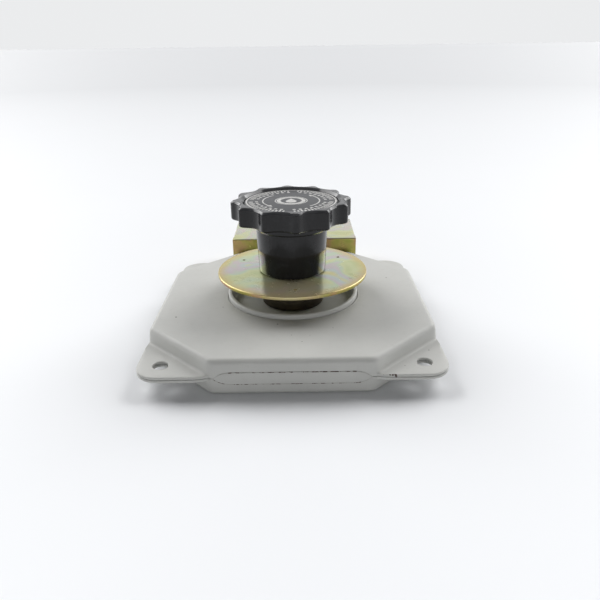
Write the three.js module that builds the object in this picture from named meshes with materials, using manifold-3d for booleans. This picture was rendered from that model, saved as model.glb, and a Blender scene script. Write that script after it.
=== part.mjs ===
// Shallow pressed-steel hydraulic reservoir with a screw-on breather cap on a filler neck.
// Millimetres, +Z up. The origin is the centre of the lower shell's flat bottom, and -Y is the front.

import * as THREE from 'three';
import { mergeVertices } from 'three/addons/utils/BufferGeometryUtils.js';
import Module from 'manifold-3d';

const wasm = await Module();
wasm.setup();

// ---- driving dimensions -------------------------------------------------------------------------

const gap = 0.3;                     // between pieces that touch
const tank = {
  halfWidth: 90, halfDepth: 92.6,    // of the octagonal pan at its seam
  chamfer: 43,                       // leg of each cut corner
  height: 22.4,
  sheet: 1.6,
  bend: 3.5,                          // outside radius of the pressed edges
  draft: THREE.MathUtils.degToRad(7),
  cornerRadius: 9,                   // of the pan's eight corners, seen from above
};
const ear = { halfDepth: 93.2, radius: 14, holeX: 76.2, holeY: 79.2, holeRadius: 4.5 };
const strip = { halfHeight: 3.6, clearOfCorner: 2.5, recess: 0.2 };

const neckY = 4.7;                   // the neck stands a little behind the middle of the tank
const dish = { radius: 44.8, wall: 3, crest: 1.2, top: 25.4, floorTop: 16.9, floor: 2, hem: 49 };
const neck = { radius: 17.5, bore: 15.5, top: 70.9, flange: 24 };
const hub = { radius: 21, bore: 17.8 };
const disc = {
  radius: 50.8, bottom: 38, thickness: 2.3, holeCircle: 39, holeRadius: 1.1, holeDegrees: [33, 153, 273],
};
const nut = { height: 6, slots: 4, slotHalf: 1.8, slotDepth: 1.2, slotFloor: 1.5 };

const cap = {
  skirtBottom: 40.6, skirtRadius: 22.6, skirtTopRadius: 24.4, bore: 20.6,
  headBottom: 76.3, headTop: 89.1, headRadius: 39.8, bevel: 1.9, lobes: 12, scallop: 4.2,
  rimRadius: 31, labelTop: 87.5, labelThickness: 1.4, pocketRadius: 28.5, pocketFloor: 79.9,
  lobeTip: THREE.MathUtils.degToRad(2.2), lobeOffset: THREE.MathUtils.degToRad(5),
};
const vent = { count: 6, circle: 25.8, radius: 1.3 };
const foamRing = { bore: 9, top: 85.5 };
const strainer = {
  radius: 14.9, wall: 0.8, bottom: 4,
  windowHalf: 2.6, windowHeights: [[5.5, 19], [23, 36.5], [40.5, 54]],
};
const sealPlate = { bottom: 74.6, thickness: 1.4, radius: 19.8 };
const rivet = { radius: 5, bore: 3.3, flange: 7, flangeThickness: 1.2, head: 8, headThickness: 1.2 };
const cage = { radius: 10, bore: 8.6, bottom: 56.9, floor: 1.5, port: 4.2 };
const relief = { radius: 6.4, bore: 1.6, collar: 3.2, thickness: 1.4, height: 3.2 };
const vacuum = { radius: 3.6, stem: 1.2, stemLength: 5.5, clip: 2.8, clipThickness: 0.8, clipInset: 1.4 };
const reliefCoil = { radius: 4.9, wire: 0.45, turns: 4 };
const vacuumCoil = { radius: 2.1, wire: 0.28, turns: 2.5 };
const dipstick = { clearance: 1, thickness: 1, halfWidth: 2.4, bottom: 6 };

const bracket = {
  bottom: 30.9,                      // underside of the bracket's plate
  left: -50.4, right: 52.3, front: 93.6, depth: 58, sheet: 2, apron: 24, cheek: 18,
  tongue: 21, tongueEnd: 23, relief: 2, holeX: 14, holeInset: 16, holeRadius: 4.5,
};
const port = { x: 60, y: 30, radius: 11, spigot: 8, bore: 5.7, top: 11.9 };
const drain = { y: -68, plugBottom: 0.3, plugTop: 10, socket: 3.4, socketTop: 5.5 };
const baffle = { front: 54, back: 86, thickness: 1.5, foot: 9, topClearance: 1.2 };

// ---- materials ----------------------------------------------------------------------------------

const finish = (color, roughness, metalness) =>
  new THREE.MeshStandardMaterial({ color, roughness, metalness });
const greyPaint = finish(0xb4b4ae, 0.55, 0);
const yellowZinc = finish(0xb9ad7c, 0.38, 0.9);
const blackPlastic = finish(0x161617, 0.28, 0);
const labelInk = finish(0x35373a, 0.5, 0);
const rubber = finish(0x202020, 0.8, 0);
const steel = finish(0x9a9c9e, 0.4, 0.9);
const brass = finish(0xb08d4a, 0.4, 0.9);
const foam = finish(0x4a4f55, 0.95, 0);

// ---- outlines and solids ------------------------------------------------------------------------

const reservoir = new THREE.Group();

function addPiece(name, geometry, material, x = 0, y = 0, z = 0) {
  const mesh = new THREE.Mesh(geometry, material);
  mesh.name = name;
  mesh.position.set(x, y, z);
  reservoir.add(mesh);
}

function toSolid(geometry) {
  const bare = geometry.clone();
  bare.deleteAttribute('normal');
  bare.deleteAttribute('uv');
  const merged = mergeVertices(bare, 1e-4);
  const corners = merged.index.array;
  const kept = [];
  for (let i = 0; i < corners.length; i += 3) {
    const [a, b, c] = corners.slice(i, i + 3);
    if (a !== b && b !== c && c !== a) kept.push(a, b, c);
  }
  const vertProperties = Float32Array.from(merged.attributes.position.array);
  return new wasm.Manifold(new wasm.Mesh({ numProp: 3, vertProperties, triVerts: Uint32Array.from(kept) }));
}

function toGeometry(solid) {
  const mesh = solid.getMesh();
  const geometry = new THREE.BufferGeometry();
  geometry.setAttribute('position', new THREE.BufferAttribute(Float32Array.from(mesh.vertProperties), 3));
  geometry.setIndex(new THREE.BufferAttribute(Uint32Array.from(mesh.triVerts), 1));
  return geometry;
}

// A solid of revolution about Z. The profile is a list of [radius, z], anticlockwise with the radius
// to the right; it closes on itself unless it starts and ends on the axis.
function turned(profile, segments = 32) {
  const points = profile.map(([radius, z]) => new THREE.Vector2(radius, z));
  const onAxis = profile[0][0] === 0 && profile[profile.length - 1][0] === 0;
  if (!onAxis) points.push(points[0].clone());
  return new THREE.LatheGeometry(points, segments).rotateX(Math.PI / 2);
}

const tube = (outer, inner, bottom, top, segments) =>
  turned([[outer, bottom], [outer, top], [inner, top], [inner, bottom]], segments);

const box = (x0, x1, y0, y1, z0, z1) =>
  new THREE.BoxGeometry(x1 - x0, y1 - y0, z1 - z0).translate((x0 + x1) / 2, (y0 + y1) / 2, (z0 + z1) / 2);

const rod = (radius, x, y, bottom, top, segments = 20) =>
  new THREE.CylinderGeometry(radius, radius, top - bottom, segments)
    .rotateX(Math.PI / 2).translate(x, y, (bottom + top) / 2);

const extruded = (shape, bottom, top) =>
  new THREE.ExtrudeGeometry(shape, { depth: top - bottom, bevelEnabled: false, curveSegments: 5 })
    .translate(0, 0, bottom);

// A solid through a stack of rings about the Z axis, each with the same number of points, anticlockwise
// from above. Its two ends are fans round a point on the axis.
function lofted(rings) {
  const count = rings[0].length;
  const last = (rings.length - 1) * count;
  const [bottomCentre, topCentre] = [last + count, last + count + 1];
  const positions = rings.flat().flatMap((point) => point.toArray());
  positions.push(0, 0, rings[0][0].z, 0, 0, rings[rings.length - 1][0].z);
  const faces = [];
  for (let i = 0; i < count; i++) {
    const next = (i + 1) % count;
    faces.push(bottomCentre, next, i, topCentre, last + i, last + next);
  }
  for (let level = 0; level + 1 < rings.length; level++) {
    for (let i = 0; i < count; i++) {
      const a = level * count + i;
      const b = level * count + (i + 1) % count;
      faces.push(a, b, b + count, a, b + count, a + count);
    }
  }
  const geometry = new THREE.BufferGeometry();
  geometry.setAttribute('position', new THREE.Float32BufferAttribute(positions, 3));
  geometry.setIndex(faces);
  return geometry;
}

// The pan's octagon, moved inwards by inset, with each corner rounded by an arc of 45 degrees.
function octagon(inset, z) {
  const x = tank.halfWidth - inset;
  const y = tank.halfDepth - inset;
  const leg = tank.chamfer - inset * (2 - Math.SQRT2);
  const radius = Math.max(tank.cornerRadius - inset, 1);
  const corners = [
    [x, y - leg], [x - leg, y], [leg - x, y], [-x, y - leg],
    [-x, leg - y], [leg - x, -y], [x - leg, -y], [x, leg - y],
  ].map(([px, py]) => new THREE.Vector2(px, py));
  const steps = 3;
  const ring = [];
  corners.forEach((corner, i) => {
    const into = corner.clone().sub(corners[(i + 7) % 8]).normalize();
    const start = corner.clone().addScaledVector(into, -radius * Math.tan(Math.PI / 8));
    const centre = start.clone().add(new THREE.Vector2(-into.y, into.x).multiplyScalar(radius));
    for (let step = 0; step <= steps; step++) {
      const arm = start.clone().rotateAround(centre, (step / steps) * Math.PI / 4);
      ring.push(new THREE.Vector3(arm.x, arm.y, z));
    }
  });
  return ring;
}

// Half of the tank's outer form, or with inset the space inside it: drafted walls up to a rounded edge.
function pan(inset, seam, top) {
  const bend = tank.bend - inset;
  const bendBottom = top - bend;
  const lean = (z) => inset + (z - seam) * Math.tan(tank.draft);
  const rings = [octagon(lean(seam), seam)];
  const steps = 3;
  for (let step = 0; step <= steps; step++) {
    const turn = (step / steps) * Math.PI / 2;
    rings.push(octagon(lean(bendBottom) + bend * (1 - Math.cos(turn)), bendBottom + bend * Math.sin(turn)));
  }
  return toSolid(lofted(rings));
}

// ---- pressed shells and the strips that close their seam ------------------------------------------

const seam = tank.height / 2;
const panTop = tank.height;

function roundedRectangle(halfWidth, halfDepth, radius) {
  const shape = new THREE.Shape();
  shape.absarc(halfWidth - radius, halfDepth - radius, radius, 0, Math.PI / 2);
  shape.absarc(radius - halfWidth, halfDepth - radius, radius, Math.PI / 2, Math.PI);
  shape.absarc(radius - halfWidth, radius - halfDepth, radius, Math.PI, Math.PI * 1.5);
  shape.absarc(halfWidth - radius, radius - halfDepth, radius, Math.PI * 1.5, Math.PI * 2);
  return shape;
}

// A bar with tapering round ends, along X or along Y, that lies in the seam.
function seamBar(halfLength, halfHeight, depth) {
  const shape = new THREE.Shape();
  const taper = 3 * halfHeight;
  shape.moveTo(-halfLength, 0);
  shape.quadraticCurveTo(-halfLength + taper / 3, -halfHeight, -halfLength + taper, -halfHeight);
  shape.lineTo(halfLength - taper, -halfHeight);
  shape.quadraticCurveTo(halfLength - taper / 3, -halfHeight, halfLength, 0);
  shape.quadraticCurveTo(halfLength - taper / 3, halfHeight, halfLength - taper, halfHeight);
  shape.lineTo(-halfLength + taper, halfHeight);
  shape.quadraticCurveTo(-halfLength + taper / 3, halfHeight, -halfLength, 0);
  return new THREE.ExtrudeGeometry(shape, { depth, bevelEnabled: false, curveSegments: 5 })
    .rotateX(Math.PI / 2);
}

const sides = [
  { name: 'seam_strip_front', turn: 0, reach: tank.halfDepth, flat: tank.halfWidth - tank.chamfer },
  { name: 'seam_strip_right', turn: 1, reach: tank.halfWidth, flat: tank.halfDepth - tank.chamfer },
  { name: 'seam_strip_back', turn: 2, reach: tank.halfDepth, flat: tank.halfWidth - tank.chamfer },
  { name: 'seam_strip_left', turn: 3, reach: tank.halfWidth, flat: tank.halfDepth - tank.chamfer },
];

function onSide(geometry, side, distance) {
  return geometry.translate(0, -distance, seam).rotateZ(side.turn * Math.PI / 2);
}

// The upper half. The lower half is the same pressing turned over, with its own openings.
function pressedShell() {
  const outer = pan(0, seam, panTop);
  const inner = pan(tank.sheet, seam - 1, panTop - tank.sheet);
  const jointFace = seam + gap / 2;
  const earPlate = toSolid(
    extruded(roundedRectangle(tank.halfWidth, ear.halfDepth, ear.radius), seam, jointFace + tank.sheet));
  const straightX = tank.halfWidth - tank.chamfer;
  const straightY = tank.halfDepth - tank.chamfer;
  const betweenEars = toSolid(box(-straightX, straightX, -100, 100, 0, 40))
    .add(toSolid(box(-100, 100, -straightY, straightY, 0, 40)));
  let shell = outer.add(earPlate.subtract(betweenEars)).subtract(inner);
  shell = shell.subtract(toSolid(box(-100, 100, -100, 100, 0, jointFace)));
  for (const side of sides) {
    const notch = seamBar(side.flat - strip.clearOfCorner + gap, strip.halfHeight + gap, 6);
    shell = shell.subtract(toSolid(onSide(notch, side, side.reach - 4)));
  }
  for (const sx of [-1, 1]) {
    for (const sy of [-1, 1]) {
      shell = shell.subtract(toSolid(rod(ear.holeRadius, sx * ear.holeX, sy * ear.holeY, 0, 40)));
    }
  }
  return shell;
}

const turnedOver = (geometry) => geometry.rotateY(Math.PI).translate(0, 0, tank.height);

const fillerOpening = toSolid(rod(dish.radius + 0.5, 0, neckY, 0, 40, 48));
addPiece('upper_shell', toGeometry(pressedShell().subtract(fillerOpening)), greyPaint);

let lowerShell = toSolid(turnedOver(toGeometry(pressedShell())));
for (const [x, y] of [[-port.x, port.y], [port.x, port.y], [0, drain.y]]) {
  lowerShell = lowerShell.subtract(toSolid(rod(port.spigot + gap, x, y, -5, 5, 16)));
}
addPiece('lower_shell', toGeometry(lowerShell), greyPaint);

for (const side of sides) {
  const bar = seamBar(side.flat - strip.clearOfCorner, strip.halfHeight, tank.sheet);
  addPiece(side.name, onSide(bar, side, side.reach - tank.sheet - strip.recess), greyPaint);
}

// ---- bosses, drain plug and baffle inside the tank --------------------------------------------------

function portBoss() {
  return turned([
    [port.bore, 0], [port.spigot, 0], [port.spigot, tank.sheet + gap], [port.radius, tank.sheet + gap],
    [port.radius, port.top], [port.bore, port.top],
  ], 16);
}
addPiece('suction_boss', portBoss(), steel, -port.x, port.y);
addPiece('return_boss', portBoss(), steel, port.x, port.y);
addPiece('drain_boss', portBoss(), steel, 0, drain.y);

const hexSocket = rod(drain.socket, 0, 0, -1, drain.socketTop, 6);
const plugBody = rod(port.bore - gap, 0, 0, drain.plugBottom, drain.plugTop);
addPiece('drain_plug', toGeometry(toSolid(plugBody).subtract(toSolid(hexSocket))), steel, 0, drain.y);

const baffleFloor = tank.sheet + gap;
const baffleTop = panTop - tank.sheet - baffle.topClearance;
const baffleWall = box(0, baffle.thickness, baffle.front, baffle.back, baffleFloor, baffleTop);
const footTop = baffleFloor + baffle.thickness;
const baffleFoot = box(0, baffle.foot, baffle.front, baffle.back, baffleFloor, footTop);
addPiece('baffle_plate', toGeometry(toSolid(baffleWall).add(toSolid(baffleFoot))), steel);

// ---- spill dish, filler neck and what is clamped on it ---------------------------------------------

const dishHemTop = panTop - tank.sheet - gap;
const dishHemBottom = dishHemTop - dish.floor;
const dishInside = dish.radius - dish.wall;
const crestCorner = dish.crest * (1 - Math.SQRT1_2);
addPiece('spill_dish', turned([
  [hub.bore, dish.floorTop - dish.floor], [dish.radius, dish.floorTop - dish.floor],
  [dish.radius, dishHemBottom], [dish.hem, dishHemBottom], [dish.hem, dishHemTop],
  [dish.radius, dishHemTop], [dish.radius, dish.top - dish.crest],
  [dish.radius - crestCorner, dish.top - crestCorner], [dish.radius - dish.crest, dish.top],
  [dishInside + dish.crest, dish.top], [dishInside + crestCorner, dish.top - crestCorner],
  [dishInside, dish.top - dish.crest], [dishInside, dish.floorTop + dish.wall],
  [dishInside - dish.wall, dish.floorTop],
  [hub.bore, dish.floorTop],
], 48), greyPaint, 0, neckY);

const gasketTop = dish.floorTop - dish.floor - gap;
const gasketBottom = gasketTop - 1.2;
const flangeTop = gasketBottom - gap;
const flangeBottom = flangeTop - 2;
addPiece('neck_gasket', tube(neck.flange, hub.bore, gasketBottom, gasketTop), rubber, 0, neckY);
addPiece('filler_neck', turned([
  [neck.bore, flangeBottom], [neck.flange, flangeBottom], [neck.flange, flangeTop],
  [neck.radius, flangeTop], [neck.radius, neck.top - 0.6], [neck.radius - 0.6, neck.top],
  [neck.bore, neck.top],
], 32), yellowZinc, 0, neckY);

const plateTop = bracket.bottom + bracket.sheet;
const neckHub = tube(hub.radius, hub.bore, dish.floorTop + gap, bracket.bottom - gap);
addPiece('neck_hub', neckHub, yellowZinc, 0, neckY);
addPiece('neck_spacer', tube(hub.radius, hub.bore, plateTop + gap, disc.bottom - gap), yellowZinc, 0, neckY);

let dripDisc = toSolid(tube(disc.radius, hub.bore, disc.bottom, disc.bottom + disc.thickness, 72));
for (const degrees of disc.holeDegrees) {
  const angle = THREE.MathUtils.degToRad(degrees);
  const [x, y] = [disc.holeCircle * Math.cos(angle), disc.holeCircle * Math.sin(angle)];
  dripDisc = dripDisc.subtract(toSolid(rod(disc.holeRadius, x, y, disc.bottom - 5, disc.bottom + 10, 12)));
}
addPiece('drip_disc', toGeometry(dripDisc), yellowZinc, 0, neckY);

const nutBottom = disc.bottom + disc.thickness + gap;
const nutTop = nutBottom + nut.height;
const nutRadius = cap.bore - 0.5;
let ringNut = toSolid(tube(nutRadius, hub.bore, nutBottom, nutTop));
for (let slot = 0; slot < nut.slots; slot++) {
  const cut = box(nutRadius - nut.slotDepth, nutRadius + 2, -nut.slotHalf, nut.slotHalf,
    nutBottom + nut.slotFloor, nutTop + 2);
  ringNut = ringNut.subtract(toSolid(cut.rotateZ((slot + 0.5) * Math.PI * 2 / nut.slots)));
}
addPiece('ring_nut', toGeometry(ringNut), steel, 0, neckY);

// The strainer hangs by its rim on the top of the neck and reaches down into the tank.
const strainerRim = neck.top + gap;
const strainerInside = strainer.radius - strainer.wall;
let basket = toSolid(turned([
  [0, strainer.bottom], [strainer.radius, strainer.bottom], [strainer.radius, strainerRim],
  [neck.radius, strainerRim], [neck.radius, strainerRim + strainer.wall],
  [strainerInside, strainerRim + strainer.wall], [strainerInside, strainer.bottom + strainer.wall],
  [0, strainer.bottom + strainer.wall],
], 24));
for (const [bottom, top] of strainer.windowHeights) {
  for (let pair = 0; pair < 4; pair++) {
    const cut = box(-20, 20, -strainer.windowHalf, strainer.windowHalf, bottom, top);
    basket = basket.subtract(toSolid(cut.rotateZ(pair * Math.PI / 4)));
  }
}
addPiece('strainer_basket', toGeometry(basket), steel, 0, neckY);

// ---- rear bracket: a folded plate whose tongue is clamped under the drip disc -----------------------

function bracketPlate() {
  const shape = new THREE.Shape();
  const start = Math.acos(bracket.tongue / bracket.tongueEnd);
  const { left, right } = bracket;
  const back = bracket.front + bracket.depth;
  shape.absarc(0, neckY, bracket.tongueEnd, start, Math.PI - start, true);
  shape.lineTo(-bracket.tongue, bracket.front);
  shape.lineTo(left, bracket.front);
  shape.lineTo(left, back);
  shape.lineTo(right, back);
  shape.lineTo(right, bracket.front);
  shape.lineTo(bracket.tongue, bracket.front);
  return toSolid(extruded(shape, bracket.bottom, plateTop));
}

function rearBracket() {
  const { left, right, front, depth, sheet, tongue, relief: notch } = bracket;
  const back = front + depth;
  const apronBottom = plateTop - bracket.apron;
  const cheekBottom = plateTop - bracket.cheek;
  let plate = bracketPlate();
  const aprons = [[left, -tongue - notch], [tongue + notch, right]];
  const cheeks = [[left, left + sheet], [right - sheet, right]];
  for (const [x0, x1] of aprons) {
    plate = plate.add(toSolid(box(x0, x1, front, front + sheet, apronBottom, plateTop)));
  }
  for (const [x0, x1] of cheeks) {
    plate = plate.add(toSolid(box(x0, x1, front + sheet + notch, back, cheekBottom, plateTop)));
  }
  plate = plate.subtract(toSolid(rod(hub.bore, 0, neckY, 0, 60, 32)));
  for (const x of [-bracket.holeX, bracket.holeX]) {
    plate = plate.subtract(toSolid(rod(bracket.holeRadius, x, back - bracket.holeInset, 0, 60)));
  }
  return plate;
}
addPiece('rear_bracket', toGeometry(rearBracket()), yellowZinc);

// ---- breather cap -----------------------------------------------------------------------------------

// Seen from above the grip has narrow rounded lobes with wide hollows between them.
function gripRing(scale, z) {
  const pitch = Math.PI * 2 / cap.lobes;
  const steps = 5;
  const ring = [];
  for (let lobe = 0; lobe < cap.lobes; lobe++) {
    for (let step = 0; step <= steps; step++) {
      const along = step / steps;
      const angle = lobe * pitch + THREE.MathUtils.lerp(cap.lobeTip, pitch - cap.lobeTip, along);
      const hollow = cap.scallop * (1 - (2 * along - 1) ** 2) ** 0.75;
      const radius = (cap.headRadius - hollow) * scale;
      ring.push(new THREE.Vector3(radius * Math.cos(angle), radius * Math.sin(angle), z));
    }
  }
  return ring;
}

function capKnob() {
  const bevelled = 1 - cap.bevel / cap.headRadius;
  const head = toSolid(lofted([
    gripRing(bevelled, cap.headBottom), gripRing(1, cap.headBottom + cap.bevel),
    gripRing(1, cap.headTop - cap.bevel), gripRing(bevelled, cap.headTop),
  ]));
  const skirt = toSolid(turned([
    [0, cap.skirtBottom], [cap.skirtRadius, cap.skirtBottom], [cap.skirtTopRadius, cap.headBottom],
    [cap.skirtTopRadius + 2, cap.headBottom + 2], [0, cap.headBottom + 2],
  ], 40));
  const skirtTop = sealPlate.bottom + sealPlate.thickness + 0.4;
  const labelBottom = cap.labelTop - cap.labelThickness;
  let knob = head.add(skirt)
    .subtract(toSolid(rod(cap.bore, 0, 0, 0, skirtTop, 32)))
    .subtract(toSolid(rod(cap.rimRadius, 0, 0, labelBottom - gap, 100, 40)))
    .subtract(toSolid(rod(cap.pocketRadius, 0, 0, cap.pocketFloor, 100, 32)))
    .subtract(toSolid(rod(rivet.radius + gap, 0, 0, 0, 100)));
  for (let i = 0; i < vent.count; i++) {
    const angle = (i + 0.5) * Math.PI * 2 / vent.count;
    const [x, y] = [vent.circle * Math.cos(angle), vent.circle * Math.sin(angle)];
    knob = knob.subtract(toSolid(rod(vent.radius, x, y, cap.headBottom - 2, cap.pocketFloor + 1, 8)));
  }
  return toGeometry(knob);
}

addPiece('cap_knob', capKnob().rotateZ(cap.lobeOffset), blackPlastic, 0, neckY);
addPiece('cap_label', turned([
  [0, cap.labelTop - cap.labelThickness], [cap.rimRadius - gap, cap.labelTop - cap.labelThickness],
  [cap.rimRadius - gap, cap.labelTop], [0, cap.labelTop],
], 40), labelInk, 0, neckY);
addPiece('breather_foam',
  tube(cap.pocketRadius - gap, foamRing.bore, cap.pocketFloor + gap, foamRing.top, 24), foam, 0, neckY);

const insertTop = strainerRim + strainer.wall - 3;
addPiece('thread_insert', tube(cap.bore - gap, neck.radius + 0.4, nutTop + 1.5, insertTop), brass, 0, neckY);

const capGasketBottom = strainerRim + strainer.wall + gap;
const capGasket = tube(cap.bore - 1, strainer.radius - gap, capGasketBottom, sealPlate.bottom - gap);
addPiece('cap_gasket', capGasket, rubber, 0, neckY);
addPiece('seal_plate', tube(sealPlate.radius, rivet.radius + gap, sealPlate.bottom,
  sealPlate.bottom + sealPlate.thickness), steel, 0, neckY);

const rivetFlangeTop = sealPlate.bottom - gap;
const rivetFlangeBottom = rivetFlangeTop - rivet.flangeThickness;
const rivetHeadBottom = cap.pocketFloor + gap;
const rivetHeadTop = rivetHeadBottom + rivet.headThickness;
addPiece('swivel_rivet', turned([
  [rivet.bore, rivetFlangeBottom], [rivet.flange, rivetFlangeBottom], [rivet.flange, rivetFlangeTop],
  [rivet.radius, rivetFlangeTop], [rivet.radius, rivetHeadBottom], [rivet.head, rivetHeadBottom],
  [rivet.head, rivetHeadTop], [rivet.bore, rivetHeadTop],
], 20), steel, 0, neckY);

// ---- pressure and vacuum valves, and the dipstick, hung under the seal plate -------------------------

const cageFloorTop = cage.bottom + cage.floor;
addPiece('valve_cage', turned([
  [cage.port, cage.bottom], [cage.radius, cage.bottom], [cage.radius, rivetFlangeTop],
  [cage.bore, rivetFlangeTop], [cage.bore, cageFloorTop], [cage.port, cageFloorTop],
], 24), brass, 0, neckY);

const poppetBottom = cageFloorTop + gap;
const poppetTop = poppetBottom + relief.thickness;
const collarTop = poppetBottom + relief.height;
addPiece('relief_poppet', turned([
  [relief.bore, poppetBottom], [relief.radius, poppetBottom], [relief.radius, poppetTop],
  [relief.collar, poppetTop], [relief.collar, collarTop], [relief.bore, collarTop],
], 20), brass, 0, neckY);

const stemTop = collarTop + vacuum.stemLength;
addPiece('vacuum_poppet', turned([
  [0, cage.bottom], [vacuum.radius, cage.bottom], [vacuum.radius, cageFloorTop],
  [vacuum.stem, cageFloorTop], [vacuum.stem, stemTop], [0, stemTop],
], 16), brass, 0, neckY);
const clipBottom = stemTop - vacuum.clipInset;
const clipRing = tube(vacuum.clip, vacuum.stem + gap, clipBottom, clipBottom + vacuum.clipThickness, 16);
addPiece('vacuum_clip', clipRing, steel, 0, neckY);

// A coil of round wire about Z. Its end faces are flat cuts, and bottom and top are the wire's limits.
function coilSpring({ radius, wire, turns }, bottom, top) {
  class Helix extends THREE.Curve {
    getPoint(t, target = new THREE.Vector3()) {
      const angle = t * turns * Math.PI * 2;
      const z = THREE.MathUtils.lerp(bottom + wire, top - wire, t);
      return target.set(radius * Math.cos(angle), radius * Math.sin(angle), z);
    }
  }
  const section = new THREE.Shape().absarc(0, 0, wire, 0, Math.PI * 2);
  return new THREE.ExtrudeGeometry(section,
    { steps: Math.round(turns * 10), curveSegments: 3, extrudePath: new Helix() });
}
addPiece('relief_spring', coilSpring(reliefCoil, poppetTop + gap, rivetFlangeBottom - gap), steel, 0, neckY);
addPiece('vacuum_spring', coilSpring(vacuumCoil, collarTop + gap, clipBottom - gap), steel, 0, neckY);

const dipstickX = cage.radius + dipstick.clearance;
addPiece('dipstick', box(dipstickX, dipstickX + dipstick.thickness, -dipstick.halfWidth, dipstick.halfWidth,
  dipstick.bottom, rivetFlangeTop), steel, 0, neckY);

export default reservoir;
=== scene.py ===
import math
from types import SimpleNamespace

import bmesh
import bpy
from mathutils import Matrix, Vector, noise


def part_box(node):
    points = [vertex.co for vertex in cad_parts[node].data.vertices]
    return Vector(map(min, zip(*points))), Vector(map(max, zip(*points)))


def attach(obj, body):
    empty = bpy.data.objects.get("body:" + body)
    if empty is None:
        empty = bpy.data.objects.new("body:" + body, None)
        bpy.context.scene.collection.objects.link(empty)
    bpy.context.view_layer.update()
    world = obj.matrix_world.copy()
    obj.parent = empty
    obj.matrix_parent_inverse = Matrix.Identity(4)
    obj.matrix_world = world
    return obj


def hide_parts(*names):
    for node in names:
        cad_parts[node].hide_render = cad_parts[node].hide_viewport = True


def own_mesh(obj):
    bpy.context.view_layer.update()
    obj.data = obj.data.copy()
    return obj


# The looks of a shallow pressed-steel hydraulic reservoir with a screw-on breather cap.
# Shapes are worked out in millimetres and turned into metres when a piece is made.

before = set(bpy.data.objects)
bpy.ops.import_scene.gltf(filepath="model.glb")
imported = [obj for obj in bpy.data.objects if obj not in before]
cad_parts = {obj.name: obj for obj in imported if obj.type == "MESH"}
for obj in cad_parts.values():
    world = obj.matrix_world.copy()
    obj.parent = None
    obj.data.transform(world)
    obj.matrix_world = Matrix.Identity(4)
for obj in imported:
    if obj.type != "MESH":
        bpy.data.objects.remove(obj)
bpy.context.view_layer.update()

MM = 0.001


# ---- places and sizes that come from the frame ----

def place(node):
    """A CAD node's box in millimetres: its ends, its middle and half its width."""
    low, high = (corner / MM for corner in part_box(node))
    return SimpleNamespace(
        x0=low.x, x1=high.x, y0=low.y, y1=high.y, bottom=low.z, top=high.z,
        x=(low.x + high.x) / 2, y=(low.y + high.y) / 2, radius=(high.x - low.x) / 2,
    )


shell = place("upper_shell")
lower = place("lower_shell")
strip = place("seam_strip_front")
dish = place("spill_dish")
disc = place("drip_disc")
hub = place("neck_hub")
spacer = place("neck_spacer")
nut = place("ring_nut")
neck = place("filler_neck")
knob = place("cap_knob")
label = place("cap_label")
insert = place("thread_insert")
bracket = place("rear_bracket")
foam_box = place("breather_foam")
seal = place("seal_plate")

NECK_Y = disc.y  # the neck's axis is at x = 0
NECK_BORE = 17.8  # through everything that is clamped round the neck
SHEET = 1.6
SEAM = (lower.bottom + shell.top) / 2
TANK_TOP = shell.top
STRIP_RECESS = 0.2
PAN_X = shell.x1
PAN_Y = -strip.y0 + STRIP_RECESS
FLAT = strip.x1 + 2.5  # half of the pan's straight front edge
CHAMFER = PAN_X - FLAT
BEND = 3.5  # outside radius of the pressed top edge
DRAFT = math.tan(math.radians(7))
PAN_CORNER = 9.0
EAR_CORNER = 14.0
EAR_TOP = shell.bottom + SHEET
EAR_HOLE = (76.2, 79.2, 4.5)  # x, y, radius
EAR_FOLD = 1.7  # radius of the fold between the wall and the ear
EAR_RIM = 0.5
THREAD_PITCH = 4.0
COLLAR = 44.8  # outside radius of the spill dish's collar


# ---- shapes: lists of points and faces ----

def fillet(outline, radius=0.3, steps=4):
    """A closed outline of (a, b) or (a, b, radius) corners with its corners turned into arcs."""
    rounded = []
    for i, corner in enumerate(outline):
        here = Vector(corner[:2])
        before = Vector(outline[i - 1][:2]) - here
        after = Vector(outline[(i + 1) % len(outline)][:2]) - here
        size = corner[2] if len(corner) > 2 else radius
        half = before.angle(after) / 2
        if size == 0 or here.x == 0 or half > 1.5:
            rounded.append((here.x, here.y))
            continue
        reach = min(size / math.tan(half), 0.48 * before.length, 0.48 * after.length)
        middle = (before.normalized() + after.normalized()).normalized()
        centre = here + middle * (reach / math.cos(half))
        arm = here + before.normalized() * reach - centre
        end = here + after.normalized() * reach - centre
        turn = math.atan2(arm.x * end.y - arm.y * end.x, arm.dot(end))
        for step in range(steps + 1):
            spoke = Matrix.Rotation(turn * step / steps, 2) @ arm
            rounded.append((centre.x + spoke.x, centre.y + spoke.y))
    return rounded


def skin(rings, loop=False):
    """A surface through rings of equally many points, closed end to end when loop is true."""
    count = len(rings[0])
    points = [tuple(point) for ring in rings for point in ring]
    faces = []
    for level in range(len(rings) if loop else len(rings) - 1):
        here, above = level * count, (level + 1) % len(rings) * count
        for i in range(count):
            after = (i + 1) % count
            faces.append((here + i, here + after, above + after, above + i))
    return points, faces


def circle(radius, z, segments=96, x=0.0, y=NECK_Y):
    turns = [2 * math.pi * i / segments for i in range(segments)]
    return [(x + radius * math.cos(turn), y + radius * math.sin(turn), z) for turn in turns]


def turned(profile, segments=96, x=0.0, y=NECK_Y):
    """A closed profile of (radius, z) turned about the vertical."""
    return skin([circle(radius, z, segments, x, y) for radius, z in profile], loop=True)


def ring(outer, inner, bottom, top, radius=0.3, segments=96, x=0.0, y=NECK_Y):
    profile = [(outer, bottom), (outer, top), (inner, top), (inner, bottom)]
    return turned(fillet(profile, radius), segments, x, y)


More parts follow.
